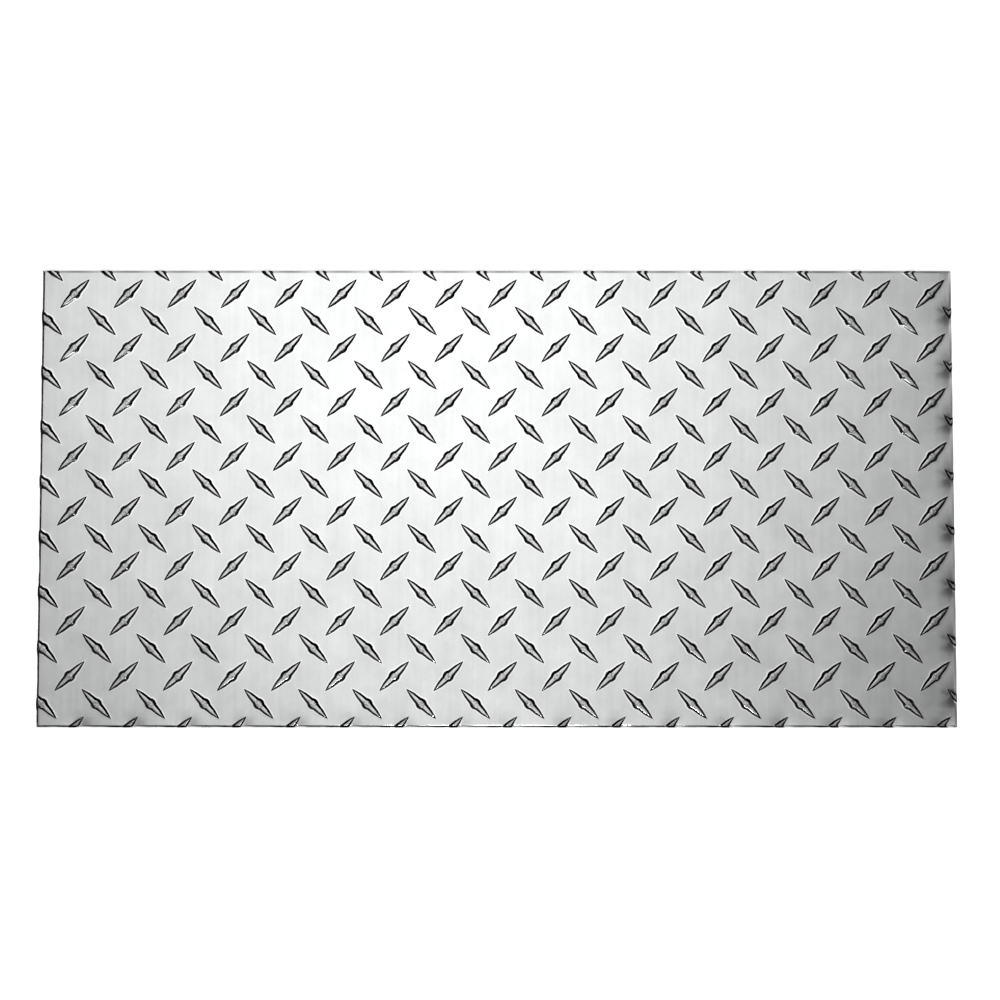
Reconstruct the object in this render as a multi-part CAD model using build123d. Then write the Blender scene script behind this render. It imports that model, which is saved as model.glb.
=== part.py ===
from build123d import *
import math
import os

# Aluminium tread plate: one sheet, 24 x 12 in of rolled 0.063 in stock, lying flat.
# Its top face carries pointed lugs in two crossed sets, and its back face is plain.
# Frame: millimetres, +X along the length, +Y across the width, +Z up through the
# lugs, with the origin under the middle of the sheet, on the back face.

# The sheet without its lugs
sheet_length = 609.6
sheet_width = 304.8
sheet_thickness = 1.6

# One lug: a pointed lens at its foot, leaning in to a smaller lens at its flat crest
foot_length = 27.8
foot_width = 4.9
crest_length = 24.4
crest_width = 2.8
lug_height = 1.0

# The rolled pattern: both sets of lugs keep one pitch, half a pitch apart both ways
pitch_along = 35.84
pitch_across = 36.46
lug_turn = 45.0  # degrees from the length of the sheet, one set each way

# Where the shears met the pattern: from the left and the far edge to the first lugs
left_margin = 21.9
far_margin = 15.6


def lens(length, width):
    """A pointed lens along X: two equal arcs that meet at its tips."""
    tip = length / 2
    side = width / 2
    near_arc = ThreePointArc((-tip, 0), (0, -side), (tip, 0))
    far_arc = ThreePointArc((tip, 0), (0, side), (-tip, 0))
    return make_face([near_arc, far_arc])


def lug():
    """One lug along X, its foot on z = 0 and its flanks ruled from foot to crest."""
    foot = lens(foot_length, foot_width)
    crest = Pos(0, 0, lug_height) * lens(crest_length, crest_width)
    return loft([foot, crest], ruled=True)


def lug_places(first_x, first_y, turn):
    """Where one set of lugs stands, as far out as a lug still reaches the sheet."""
    reach = foot_length / 2
    columns = range(-1, math.ceil(sheet_length / pitch_along) + 1)
    rows = range(-1, math.ceil(sheet_width / pitch_across) + 1)
    places = []
    for column in columns:
        for row in rows:
            x = first_x + column * pitch_along
            y = first_y - row * pitch_across
            if abs(x) < sheet_length / 2 + reach and abs(y) < sheet_width / 2 + reach:
                places.append(Pos(x, y, sheet_thickness) * Rot(0, 0, turn))
    return places


def rolled_stock():
    """The plate as it leaves the rolls, with room all round for the shears."""
    trim = foot_length
    flat = Pos(0, 0, sheet_thickness / 2) * Box(
        sheet_length + 2 * trim, sheet_width + 2 * trim, sheet_thickness)
    first_x = left_margin - sheet_length / 2
    first_y = sheet_width / 2 - far_margin
    rising = lug_places(first_x, first_y, lug_turn)
    falling = lug_places(first_x - pitch_along / 2, first_y - pitch_across / 2, -lug_turn)
    pattern_lug = lug()
    return flat + [place * pattern_lug for place in rising + falling]


def tread_plate():
    """The stock sheared to length and width, straight through the lugs on its edges."""
    full_height = sheet_thickness + lug_height
    between_shears = Box(sheet_length, sheet_width, 4 * full_height)
    return rolled_stock() & between_shears


os.makedirs("parts", exist_ok=True)
export_step(tread_plate(), "parts/tread_plate.step")
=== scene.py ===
import math

import bmesh
import bpy
from mathutils import Matrix, Vector, noise


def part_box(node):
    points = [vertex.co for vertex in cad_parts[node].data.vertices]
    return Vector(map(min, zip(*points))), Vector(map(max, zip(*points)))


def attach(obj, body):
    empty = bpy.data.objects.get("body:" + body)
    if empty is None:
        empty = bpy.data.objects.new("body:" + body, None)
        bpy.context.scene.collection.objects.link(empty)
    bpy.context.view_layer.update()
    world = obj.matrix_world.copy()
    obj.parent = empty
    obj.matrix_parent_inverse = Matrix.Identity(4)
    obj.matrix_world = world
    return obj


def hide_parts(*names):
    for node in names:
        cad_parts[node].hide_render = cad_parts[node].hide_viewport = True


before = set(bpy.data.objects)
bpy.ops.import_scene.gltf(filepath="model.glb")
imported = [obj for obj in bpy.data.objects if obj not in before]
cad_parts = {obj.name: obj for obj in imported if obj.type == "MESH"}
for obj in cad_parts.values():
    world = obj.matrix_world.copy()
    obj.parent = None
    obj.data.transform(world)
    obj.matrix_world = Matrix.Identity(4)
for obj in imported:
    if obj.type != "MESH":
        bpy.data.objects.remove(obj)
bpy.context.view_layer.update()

# Tread plate: one sheet of aluminium, rolled hot between a smooth roll and one cut with
# a pattern of pockets, which raise the lugs from the same metal. It was sheared to size
# straight through the lugs, so cut lugs stand on all four of its edges.
MM = 0.001
SAME_POINT = 0.001 * MM
SHEET_THICKNESS = 1.6 * MM
PITCH_ALONG = 35.84 * MM
PITCH_ACROSS = 36.46 * MM
LEFT_MARGIN = 21.9 * MM
FAR_MARGIN = 15.6 * MM
LUG_TURN = math.radians(45)
sheet_low, sheet_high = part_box("tread_plate")
SHEET_TOP = sheet_low.z + SHEET_THICKNESS
LUG_HEIGHT = sheet_high.z - SHEET_TOP

# A lug's rings, from the rim of its crest out to the flat round its foot: half length, half
# width and how far the knuckle stands out of the lens, in mm, and share of the lug's height
LUG_RINGS = (
    (11.2, 0.80, 0.45, 1.0),
    (11.8, 1.42, 0.70, 0.93),
    (14.2, 2.80, 0.93, 0.04),
    (15.3, 3.80, 1.05, 0.0),
)
FOOT_RING = 2
# Where each ring has its points, as shares of its half length from middle to tip
LUG_STATIONS = (0.0, 0.09, 0.20, 0.58, 0.86, 1.0)
LUG_ROWS = 2 * len(LUG_RINGS) - 1
LENS_FULLNESS = 2.3
KNUCKLE_REACH = 0.20
CROWN_FALL = 0.16


def lug_outline(v):
    """Moves a point of a square grid to its place on the lug."""
    station = LUG_STATIONS[round(abs(v.co.x) * (len(LUG_STATIONS) - 1))]
    ring = LUG_RINGS[round((abs(v.co.y) * LUG_ROWS - 1) / 2)]
    half_length, half_width, knuckle, share = ring
    lens = half_width * (1 - station**LENS_FULLNESS)
    bulge = knuckle * max(0.0, 1 - (station / KNUCKLE_REACH)**2)
    v.co = (math.copysign(station * half_length, v.co.x) * MM,
            math.copysign(lens + bulge, v.co.y) * MM,
            share * LUG_HEIGHT * (1 - CROWN_FALL * station**2))


def lug_places(start_x, start_y, turn):
    """Where one set of lugs stands, past the edges by as much as a lug still reaches."""
    reach = LUG_RINGS[-1][0] * MM
    columns = range(-1, math.ceil(2 * sheet_high.x / PITCH_ALONG) + 1)
    rows = range(-1, math.ceil(2 * sheet_high.y / PITCH_ACROSS) + 1)
    places = []
    for column in columns:
        for row in rows:
            x = start_x + column * PITCH_ALONG
            y = start_y - row * PITCH_ACROSS
            if abs(x) < sheet_high.x + reach and abs(y) < sheet_high.y + reach:
                places.append(Matrix.Translation((x, y, SHEET_TOP)) @ Matrix.Rotation(turn, 4, "Z"))
    return places


lug = bmesh.new()
bmesh.ops.create_grid(lug, x_segments=2 * (len(LUG_STATIONS) - 1), y_segments=LUG_ROWS, size=1.0)
for v in lug.verts:
    lug_outline(v)
bmesh.ops.remove_doubles(lug, verts=lug.verts, dist=SAME_POINT)

# A flank ends in a sharp line at its foot, which sinks towards the tips with the crown
foot_high = LUG_RINGS[FOOT_RING][3] * LUG_HEIGHT
foot_low = foot_high * (1 - CROWN_FALL)
for e in lug.edges:
    e.smooth = not all(foot_low - SAME_POINT < v.co.z < foot_high + SAME_POINT for v in e.verts)
lug_mesh = bpy.data.meshes.new("lug")
lug.to_mesh(lug_mesh)
lug.free()

# Two sets of lugs, turned opposite ways, the second half a pitch off the first. They go into
# a group of their own, because only their normals are evened out when the plate is done.
plate = bmesh.new()
first_x = sheet_low.x + LEFT_MARGIN
first_y = sheet_high.y - FAR_MARGIN
lugs = lug_places(first_x, first_y, LUG_TURN)
lugs += lug_places(first_x - PITCH_ALONG / 2, first_y - PITCH_ACROSS / 2, -LUG_TURN)
for lug_place in lugs:
    turned = lug_mesh.copy()
    turned.transform(lug_place)
    plate.from_mesh(turned)
    bpy.data.meshes.remove(turned)
lug_group = plate.verts.layers.deform.verify()
for v in plate.verts:
    v[lug_group][0] = 1.0

# The flat metal between the lugs, out to a frame all round that the shears take off
TRIM = 20 * MM
corners = bmesh.ops.create_grid(plate, x_segments=1, y_segments=1, size=1.0)["verts"]
for v in corners:
    v.co = (v.co.x * (sheet_high.x + TRIM), v.co.y * (sheet_high.y + TRIM), SHEET_TOP)
bmesh.ops.delete(plate, geom=corners[0].link_faces[:], context="FACES_ONLY")
borders = [e for e in plate.edges if len(e.link_faces) < 2]
bmesh.ops.triangle_fill(plate, use_beauty=True, use_dissolve=False, edges=borders, normal=(0, 0, 1))

# The shears' cuts, drawn in by as much as the metal rolls over at the top of a cut edge
ROLL = 1.7 * MM
SIDES = {"right": Vector((1, 0, 0)), "left": Vector((-1, 0, 0)),
         "far": Vector((0, 1, 0)), "near": Vector((0, -1, 0))}


def past(side, point):
    """How far a point is outside one side of the sheet, or below zero inside it."""
    return side.dot(point) - abs(side.dot(sheet_high))


def cut(geom, offset, side, clear=False):
    """Cuts geometry by an upright plane that lies offset in from one side of the sheet."""
    at = (side.x * (sheet_high.x - offset), side.y * (sheet_high.y - offset), 0)
    return bmesh.ops.bisect_plane(plate, geom=geom, dist=SAME_POINT, plane_co=at,
                                  plane_no=side, clear_outer=clear)["geom"]


for side in SIDES.values():
    cut(plate.verts[:] + plate.edges[:] + plate.faces[:], ROLL, side, clear=True)

# The blade comes down on each lug at the right and near edges first and presses it in, so
# the flat metal beside it dips. Cuts across a band along both edges give the dip its points.
# A lug counts as pressed where its middle is within CUT_REACH of the edge. Each edge has the
# depth and reach of its dips, and how far to the right they lie of the place where the line
# along the lug's crest crosses the edge. Past DIP_FADE times its reach a dip is nothing.
DIP_BAND = 14 * MM
DIP_CUTS = (2 * MM, 4.5 * MM, 7 * MM, 10 * MM, 13 * MM)
DIP_STEP = 3 * MM
DIPS = {"right": (0.9 * MM, 7.0 * MM, 4.5 * MM), "near": (0.6 * MM, 4.0 * MM, 3.5 * MM)}
DIP_FADE = 3.5
CUT_REACH = 0.5 * LUG_RINGS[0][0] * MM
crossings = {}
for name, (depth, reach, shift) in DIPS.items():
    side = SIDES[name]
    along = Vector((side.y, side.x, 0))
    faces = [f for f in plate.faces if past(side, f.calc_center_median()) > -DIP_BAND]
    band = list(dict.fromkeys(v for f in faces for v in f.verts))
    band += list(dict.fromkeys(e for f in faces for e in f.edges)) + faces
    for offset in DIP_CUTS:
        band = cut(band, offset, side)
    for step in range(1, int(2 * abs(along.dot(sheet_high)) / DIP_STEP)):
        band = cut(band, step * DIP_STEP, along)
    pits = []
    for lug_place in lugs:
        outside = past(side, lug_place.translation)
        if abs(outside) < CUT_REACH:
            axis = lug_place.col[0].to_3d()
            crossings[name] = lug_place.translation - axis * outside / side.dot(axis)
            pits.append(crossings[name] + Vector((shift, 0, 0)))
    for v in plate.verts:
        if past(side, v.co) > -DIP_FADE * reach:
            for pit in pits:
                gap = (v.co - pit).to_2d().length
                v.co.z -= depth * math.exp(-0.5 * (gap / reach)**2)

# The rolled-over edge: deepest midway between cut lugs, where nothing stiffens the metal.
# Its section runs out from the flat: inset from the true edge, and drop from the line
# before. The last line goes on down to the sheet's back. Each edge has its own share of it.
ROLL_SECTION = ((1.45 * MM, 0.05 * MM), (0.75 * MM, 0.40 * MM), (0.0, 0.45 * MM), (0.0, 0.0))
ROLL_SHARES = {"right": 0.05, "left": 1.2, "far": 0.35, "near": 1.2}
STIFF_SHARE = 0.45
STIFF_REACH = 16 * MM
WANDER = 0.15
WANDER_LENGTH = 40 * MM
LONG_EDGE = 4 * MM
long_edges = [e for e in plate.edges if len(e.link_faces) == 1 and e.calc_length() > LONG_EDGE]
bmesh.ops.subdivide_edges(plate, edges=long_edges, cuts=4)


def give(v):
    """How far the edge rolls over at a point, as a share of the section's drop."""
    gap = min((v.co - p.translation).to_2d().length for p in lugs)
    stiffened = min(1.0, STIFF_SHARE + (1 - STIFF_SHARE) * gap / STIFF_REACH)
    wander = WANDER * noise.noise(v.co / WANDER_LENGTH)
    nearest = max(SIDES, key=lambda name: past(SIDES[name], v.co))
    return ROLL_SHARES[nearest] * (stiffened + wander)


def pull_edge(rim, inset, drop):
    """Extrudes the sheet's rim outwards to inset from its true edge, and down by drop."""
    made = bmesh.ops.extrude_edge_only(plate, edges=rim)["geom"]
    verts = [g for g in made if isinstance(g, bmesh.types.BMVert)]
    wide = max(v.co.x for v in verts)
    deep = max(v.co.y for v in verts)
    shape = ((sheet_high.x - inset) / wide, (sheet_high.y - inset) / deep, 1.0)
    for v in verts:
        v.co.z -= drop * give(v)
    bmesh.ops.scale(plate, vec=shape, verts=verts)
    return [g for g in made if isinstance(g, bmesh.types.BMEdge)], verts


rim = [e for e in plate.edges if len(e.link_faces) == 1]
for inset, drop in ROLL_SECTION:
    rim, rim_verts = pull_edge(rim, inset, drop)
for v in rim_verts:
    v.co.z = sheet_low.z
bmesh.ops.triangle_fill(plate, use_beauty=True, use_dissolve=False, edges=rim, normal=(0, 0, -1))
bmesh.ops.recalc_face_normals(plate, faces=plate.faces)
CREASE = math.radians(35)
for f in plate.faces:
    f.smooth = True
for e in plate.edges:
    e.smooth = e.smooth and e.calc_face_angle(0.0) < CREASE
plate_mesh = bpy.data.meshes.new("tread_plate_dressed")
plate.to_mesh(plate_mesh)
plate.free()
plate_piece = bpy.data.objects.new("tread_plate_dressed", plate_mesh)
bpy.context.scene.collection.objects.link(plate_piece)

# A lug's normals lean to its larger faces, so that crest and flanks look even
LARGE_FACE_WEIGHT = 70
weighted = plate_piece.modifiers.new("flat faces keep their normals", "WEIGHTED_NORMAL")
weighted.keep_sharp = True
weighted.weight = LARGE_FACE_WEIGHT
weighted.vertex_group = plate_piece.vertex_groups.new(name="lugs").name
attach(plate_piece, "root")
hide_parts("tread_plate")


def linear(hex_colour):
    """An sRGB hex colour as linear red, green, blue and alpha."""
    parts = [int(hex_colour[i:i + 2], 16) / 255 for i in (1, 3, 5)]
    return [p / 12.92 if p <= 0.04045 else ((p + 0.055) / 1.055)**2.4 for p in parts] + [1.0]


def node(tree, kind, settings=None, **links):
    """Adds a node, sets its properties, and sets or links the named or numbered inputs."""
    made = tree.nodes.new(kind)
    for name, value in (settings or {}).items():
        setattr(made, name, value)
    for name, value in links.items():
        socket = made.inputs[int(name[1:]) if name[1:].isdigit() else name.replace("_", " ")]
        if isinstance(value, bpy.types.NodeSocket):
            tree.links.new(value, socket)
        else:
            socket.default_value = value
    return made


# Mill finish, bare as the sheet left the rolls: bright and silvery. The eye sees faint streaks
# along the way it was rolled, soft cloudy patches, a brighter rim round the foot of each lug,
# which is a painted highlight, dark flanks and rolled edges, which are painted shade, greyer
# crests with a dull, pitted middle, and grey metal where it was sheared. Real streaks and pits
# are finer than a render shows, so these are coarser, and the flanks are painted darker than the
# real metal: a painted shade that draws each lug's outline as soft light does.
FLAT = "#E0E1E1"
# Painted highlight: the brighter rim round the foot of each lug
FOOT_HIGHLIGHT = "#FBFBFB"
CREST = "#DADBDB"
# Painted shade: the colour of the flanks and of the top of each rolled edge
FLANK_SHADE = "#2A2B2B"
SHEARED = "#8E9091"
STREAK_WIDTH = 3 * MM
STREAK_LENGTH = 80 * MM
CLOUD = 40 * MM
PITTING = 1.3 * MM

mill = bpy.data.materials.new("mill_finish_aluminium")
mill.use_nodes = True
mill_tree = mill.node_tree
shader = mill_tree.nodes["Principled BSDF"]
shader.inputs["Metallic"].default_value = 1.0
plate_mesh.materials.append(mill)
surface = node(mill_tree, "ShaderNodeTexCoord")
point = node(mill_tree, "ShaderNodeSeparateXYZ", Vector=surface.outputs["Object"])
facing = node(mill_tree, "ShaderNodeSeparateXYZ", Vector=surface.outputs["Normal"])
rolled_way = node(mill_tree, "ShaderNodeMapping", Vector=surface.outputs["Object"],
                  Scale=(1 / STREAK_WIDTH, 1 / STREAK_LENGTH, 0))
streaks = node(mill_tree, "ShaderNodeTexNoise", Vector=rolled_way.outputs[0],
               Scale=1.0, Detail=2.0)
clouds = node(mill_tree, "ShaderNodeTexNoise", Vector=surface.outputs["Object"],
              Scale=1 / CLOUD, Detail=5.0, Roughness=0.7)
pitting = node(mill_tree, "ShaderNodeTexNoise", Vector=surface.outputs["Object"],
               Scale=1 / PITTING, Detail=2.0)

# What a point is on. Its height over the flat tells the rise of a foot, a crest, and how far
# down the roll of an edge the flanks' painted shade still reaches, and how level it is tells a
# flank and an upright cut.
FOOT_STARTS, FOOT_FULL = 0.001 * MM, 0.008 * MM
CREST_STARTS, CREST_FULL = 0.30 * MM, 0.70 * MM
ROLL_ENDS, ROLL_FULL = -0.60 * MM, -0.50 * MM
FLANK_LEVEL, FLAT_LEVEL = 0.95, 0.99
UPRIGHT_LEVEL, SLOPE_LEVEL = 0.15, 0.30
raised = node(mill_tree, "ShaderNodeMapRange", Value=point.outputs["Z"],
              From_Min=SHEET_TOP + FOOT_STARTS, From_Max=SHEET_TOP + FOOT_FULL)
top = node(mill_tree, "ShaderNodeMapRange", Value=point.outputs["Z"],
           From_Min=SHEET_TOP + CREST_STARTS, From_Max=SHEET_TOP + CREST_FULL)
rolled = node(mill_tree, "ShaderNodeMapRange", Value=point.outputs["Z"],
              From_Min=SHEET_TOP + ROLL_ENDS, From_Max=SHEET_TOP + ROLL_FULL)
steep = node(mill_tree, "ShaderNodeMapRange", {"interpolation_type": "SMOOTHSTEP"},
             Value=facing.outputs["Z"], From_Min=FLANK_LEVEL, From_Max=FLAT_LEVEL,
             To_Min=1.0, To_Max=0.0)
flank = node(mill_tree, "ShaderNodeMath", {"operation": "MULTIPLY"},
             _0=rolled.outputs[0], _1=steep.outputs[0])
upright = node(mill_tree, "ShaderNodeMapRange", Value=facing.outputs["Z"],
               From_Min=UPRIGHT_LEVEL, From_Max=SLOPE_LEVEL, To_Min=1.0, To_Max=0.0)

# Waves with a top at every lug's middle, along the sheet and across it, and one with a top
# at every lug that the right edge cuts
waves = []
for axis, first, pitch in (("X", first_x, PITCH_ALONG), ("Y", first_y, PITCH_ACROSS),
                           ("Y", crossings["right"].y, PITCH_ACROSS)):
    turns = node(mill_tree, "ShaderNodeMath", {"operation": "MULTIPLY_ADD"},
                 _0=point.outputs[axis], _1=math.tau / pitch, _2=-math.tau * first / pitch)
    waves.append(node(mill_tree, "ShaderNodeMath", {"operation": "COSINE"}, _0=turns.outputs[0]))
along_wave, across_wave, right_wave = waves

# The dull middle of a crest, pitted in blotches: both sets of lugs lie where the product of
# the two waves is near 1
MIDDLE_STARTS, MIDDLE_FULL = 0.72, 0.97
PITS_START, PITS_FULL = 0.38, 0.62
lug_wave = node(mill_tree, "ShaderNodeMath", {"operation": "MULTIPLY"},
                _0=along_wave.outputs[0], _1=across_wave.outputs[0])
middle = node(mill_tree, "ShaderNodeMapRange", {"interpolation_type": "SMOOTHSTEP"},
              Value=lug_wave.outputs[0], From_Min=MIDDLE_STARTS, From_Max=MIDDLE_FULL)
worn = node(mill_tree, "ShaderNodeMath", {"operation": "MULTIPLY"},
            _0=middle.outputs[0], _1=raised.outputs[0])
blotches = node(mill_tree, "ShaderNodeMapRange", Value=pitting.outputs["Fac"],
                From_Min=PITS_START, From_Max=PITS_FULL)
dull = node(mill_tree, "ShaderNodeMath", {"operation": "MULTIPLY"},
            _0=blotches.outputs[0], _1=worn.outputs[0])

# Painted shade where the blade pressed: on the lugs it cut at the right and near edges, and on
# the metal it pressed beside those at the right, darkened as the dips there look in reflection
RIGHT_SHADE_STARTS, RIGHT_SHADE_FULL = 14 * MM, 3 * MM
NEAR_SHADE_STARTS, NEAR_SHADE_FULL = 8 * MM, 3 * MM
BESIDE_STARTS, BESIDE_FULL = 0.2, 1.0
by_right = node(mill_tree, "ShaderNodeMapRange", {"interpolation_type": "SMOOTHSTEP"},
                Value=point.outputs["X"], From_Min=sheet_high.x - RIGHT_SHADE_STARTS,
                From_Max=sheet_high.x - RIGHT_SHADE_FULL)
by_near = node(mill_tree, "ShaderNodeMapRange", {"interpolation_type": "SMOOTHSTEP"},
               Value=point.outputs["Y"], From_Min=sheet_low.y + NEAR_SHADE_STARTS,
               From_Max=sheet_low.y + NEAR_SHADE_FULL)
beside = node(mill_tree, "ShaderNodeMapRange", {"interpolation_type": "SMOOTHSTEP"},
              Value=right_wave.outputs[0], From_Min=BESIDE_STARTS, From_Max=BESIDE_FULL)
pressed = node(mill_tree, "ShaderNodeMath", {"operation": "MAXIMUM"},
               _0=beside.outputs[0], _1=raised.outputs[0])
shade_right = node(mill_tree, "ShaderNodeMath", {"operation": "MULTIPLY"},
                    _0=by_right.outputs[0], _1=pressed.outputs[0])
shade_near = node(mill_tree, "ShaderNodeMath", {"operation": "MULTIPLY"},
                   _0=by_near.outputs[0], _1=raised.outputs[0])
edge_shade = node(mill_tree, "ShaderNodeMath", {"operation": "MAXIMUM"},
              _0=shade_right.outputs[0], _1=shade_near.outputs[0])

# Tone: streaks and clouds lighten the metal, and pits and the painted shade along the right and
# near edges darken it
PLAIN_TONE = 0.70
STREAK_TONE = 0.13
CLOUD_TONE = 0.46
PIT_TONE = -0.6
EDGE_SHADE_TONE = -0.5
tone = node(mill_tree, "ShaderNodeMath", {"operation": "MULTIPLY_ADD"},
            _0=streaks.outputs["Fac"], _1=STREAK_TONE, _2=PLAIN_TONE)
for mark, strength in ((clouds, CLOUD_TONE), (dull, PIT_TONE), (edge_shade, EDGE_SHADE_TONE)):
    tone = node(mill_tree, "ShaderNodeMath", {"operation": "MULTIPLY_ADD"},
                _0=mark.outputs[0], _1=strength, _2=tone.outputs[0])

# Colour: the flat and the rim of each foot with its painted highlight, with the crests, the flanks
# with their painted shade, and the cuts laid over them
metal = node(mill_tree, "ShaderNodeMix", {"data_type": "RGBA"}, _0=raised.outputs[0],
             _6=linear(FLAT), _7=linear(FOOT_HIGHLIGHT))
for share, colour in ((top, CREST), (flank, FLANK_SHADE), (upright, SHEARED)):
    metal = node(mill_tree, "ShaderNodeMix", {"data_type": "RGBA"}, _0=share.outputs[0],
                 _6=metal.outputs[2], _7=linear(colour))
toned = node(mill_tree, "ShaderNodeVectorMath", {"operation": "SCALE"},
             _0=metal.outputs[2], Scale=tone.outputs[0])
mill_tree.links.new(toned.outputs[0], shader.inputs["Base Color"])

# Gloss: the flanks are the smoothest, and the brighter a cloud, the softer its gloss
FLAT_ROUGHNESS = 0.20
FLANK_ROUGHNESS = 0.12
CLOUD_ROUGHNESS = 0.05
gloss = node(mill_tree, "ShaderNodeMapRange", Value=flank.outputs[0],
             To_Min=FLAT_ROUGHNESS, To_Max=FLANK_ROUGHNESS)
gloss = node(mill_tree, "ShaderNodeMath", {"operation": "MULTIPLY_ADD"},
             _0=clouds.outputs["Fac"], _1=CLOUD_ROUGHNESS, _2=gloss.outputs[0])
mill_tree.links.new(gloss.outputs[0], shader.inputs["Roughness"])

# Relief: the streaks, and the pitted blotches at eight times their height
STREAK_HEIGHT = 0.002 * MM
BLOTCH_HEIGHT = 8.0
relief = node(mill_tree, "ShaderNodeMath", {"operation": "MULTIPLY_ADD"},
              _0=dull.outputs[0], _1=BLOTCH_HEIGHT, _2=streaks.outputs["Fac"])
bump = node(mill_tree, "ShaderNodeBump", Height=relief.outputs[0], Distance=STREAK_HEIGHT)
mill_tree.links.new(bump.outputs[0], shader.inputs["Normal"])

# Floor: plain white studio paper under the sheet. To the camera and in reflections it is
# lit up to white, and it keeps the sheet's shadow.
FLOOR_REACH = 30.0
FLOOR_GLOW = 0.55
floor_bm = bmesh.new()
bmesh.ops.create_grid(floor_bm, x_segments=1, y_segments=1, size=FLOOR_REACH)
bmesh.ops.translate(floor_bm, vec=(0, 0, sheet_low.z), verts=floor_bm.verts)
floor_mesh = bpy.data.meshes.new("floor")
floor_bm.to_mesh(floor_mesh)
floor_bm.free()
floor = bpy.data.objects.new("floor", floor_mesh)
bpy.context.scene.collection.objects.link(floor)
paper = bpy.data.materials.new("white_studio_paper")
paper.use_nodes = True
paper_tree = paper.node_tree
paper_tree.nodes.clear()
ray = node(paper_tree, "ShaderNodeLightPath")
seen = node(paper_tree, "ShaderNodeMath", {"operation": "MAXIMUM"},
            _0=ray.outputs["Is Camera Ray"], _1=ray.outputs["Is Glossy Ray"])
seen = node(paper_tree, "ShaderNodeMath", {"operation": "MAXIMUM"},
            _0=seen.outputs[0], _1=ray.outputs["Is Transmission Ray"])
lift = node(paper_tree, "ShaderNodeMath", {"operation": "MULTIPLY"},
            _0=seen.outputs[0], _1=FLOOR_GLOW)
matt = node(paper_tree, "ShaderNodeBsdfDiffuse", Color=linear("#F4F4F4"))
glow = node(paper_tree, "ShaderNodeEmission", Color=(1, 1, 1, 1), Strength=lift.outputs[0])
lit = node(paper_tree, "ShaderNodeAddShader", _0=matt.outputs[0], _1=glow.outputs[0])
node(paper_tree, "ShaderNodeOutputMaterial", Surface=lit.outputs[0])
floor_mesh.materials.append(paper)

# Studio light, which is most of what bare metal shows: a large soft round light overhead, a
# wider one in front, and a pale horizon, with a dark gap between them for the lugs' flanks.
# The horizon is given as heights of a direction and the light that comes from there.
HORIZON = ((0.0, 1.0), (0.25, 0.95), (0.42, 0.80), (0.56, 0.06), (0.85, 0.0))
world = bpy.data.worlds.new("studio")
world.use_nodes = True
bpy.context.scene.world = world
sky = world.node_tree
direction = node(sky, "ShaderNodeTexCoord")
height = node(sky, "ShaderNodeSeparateXYZ", Vector=direction.outputs["Generated"])


def softbox(x, y, radius, narrowing, level):
    """A soft light round a direction's x and y, narrowed along x, and as bright as level."""
    spread = node(sky, "ShaderNodeVectorMath", {"operation": "MULTIPLY"},
                  _0=direction.outputs["Generated"], _1=(narrowing, 1, 0))
    away = node(sky, "ShaderNodeVectorMath", {"operation": "DISTANCE"},
                _0=spread.outputs[0], _1=(x * narrowing, y, 0))
    return node(sky, "ShaderNodeMapRange", {"interpolation_type": "SMOOTHSTEP"},
                Value=away.outputs["Value"], From_Max=radius, To_Min=level, To_Max=0.0)


overhead = softbox(x=-0.046, y=0.180, radius=0.640, narrowing=1.093, level=1.61)
front = softbox(x=0, y=-0.50, radius=0.45, narrowing=0.45, level=1.1)
horizon = node(sky, "ShaderNodeValToRGB", Fac=height.outputs["Z"])
horizon.color_ramp.interpolation = "EASE"
stops = horizon.color_ramp.elements
stops.remove(stops[1])
for at, level in HORIZON:
    stop = stops[0] if at == 0.0 else stops.new(at)
    stop.color = (level, level, level, 1)
brightest = node(sky, "ShaderNodeMath", {"operation": "MAXIMUM"},
                 _0=overhead.outputs[0], _1=front.outputs[0])
brightest = node(sky, "ShaderNodeMath", {"operation": "MAXIMUM"},
                 _0=brightest.outputs[0], _1=horizon.outputs["Color"])
sky.links.new(brightest.outputs[0], sky.nodes["Background"].inputs["Color"])

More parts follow.
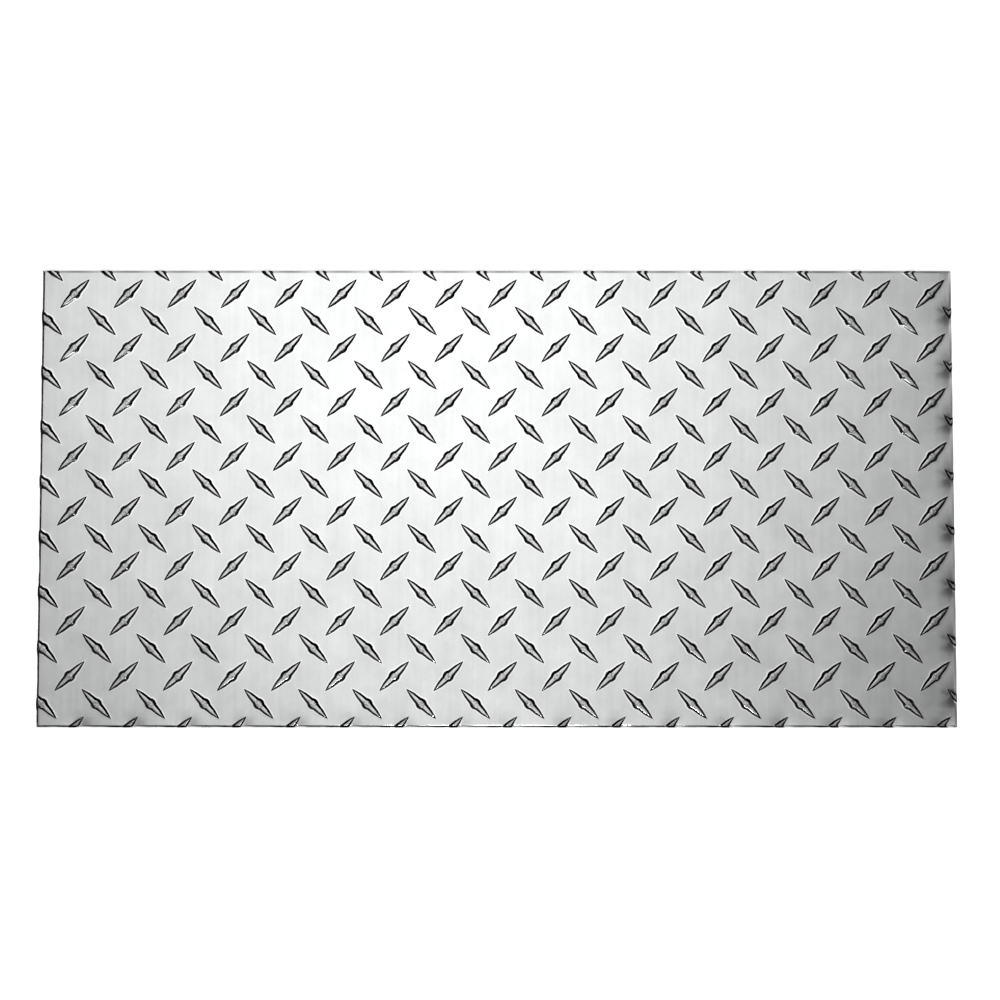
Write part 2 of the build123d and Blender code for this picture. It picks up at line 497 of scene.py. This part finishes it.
# Small lamp in front of the sheet, which the knuckles turned towards it pick up as glints
LAMP_PLACE = Vector((0, -0.75, 0.95))
LAMP_WIDTH = 0.14
LAMP_DEPTH = 0.12
LAMP_POWER = 5.5
lamp_data = bpy.data.lights.new("front_lamp", "AREA")
lamp_data.shape = "RECTANGLE"
lamp_data.size = LAMP_WIDTH
lamp_data.size_y = LAMP_DEPTH
lamp_data.energy = LAMP_POWER
lamp = bpy.data.objects.new("front_lamp", lamp_data)
bpy.context.scene.collection.objects.link(lamp)
lamp.location = LAMP_PLACE
lamp.rotation_euler = (-LAMP_PLACE).to_track_quat("-Z", "Y").to_euler()
lamp.visible_camera = False

# Black curtain all round, low on the horizon. Only reflections see it: it keeps the steepest
# flanks and the cut edges dark, and takes no light from the floor.
CURTAIN_RADIUS = 2.0
CURTAIN_HEIGHT = 0.50
curtain_bm = bmesh.new()
bmesh.ops.create_circle(curtain_bm, segments=90, radius=CURTAIN_RADIUS)
wall = bmesh.ops.extrude_edge_only(curtain_bm, edges=curtain_bm.edges[:])["geom"]
upper = [g for g in wall if isinstance(g, bmesh.types.BMVert)]
bmesh.ops.translate(curtain_bm, vec=(0, 0, CURTAIN_HEIGHT), verts=upper)
curtain_mesh = bpy.data.meshes.new("curtain")
curtain_bm.to_mesh(curtain_mesh)
curtain_bm.free()
curtain = bpy.data.objects.new("curtain", curtain_mesh)
bpy.context.scene.collection.objects.link(curtain)
curtain.visible_camera = False
curtain.visible_diffuse = False
curtain.visible_shadow = False
felt = bpy.data.materials.new("black_felt")
felt.use_nodes = True
felt_shader = felt.node_tree.nodes["Principled BSDF"]
felt_shader.inputs["Base Color"].default_value = linear("#0B0B0B")
felt_shader.inputs["Roughness"].default_value = 1.0
curtain_mesh.materials.append(felt)

# Camera: 0.92 m above the sheet, a little towards the near edge, and looking almost straight
# down on it
camera_data = bpy.data.cameras.new("camera")
camera_data.lens = 50
camera = bpy.data.objects.new("camera", camera_data)
bpy.context.scene.collection.objects.link(camera)
camera.location = (1.76 * MM, -44.09 * MM, SHEET_TOP + 924.47 * MM)
camera.rotation_euler = (math.radians(2.631), math.radians(-0.028), math.radians(0.015))
bpy.context.scene.camera = camera

bpy.context.scene.view_settings.view_transform = "Standard"
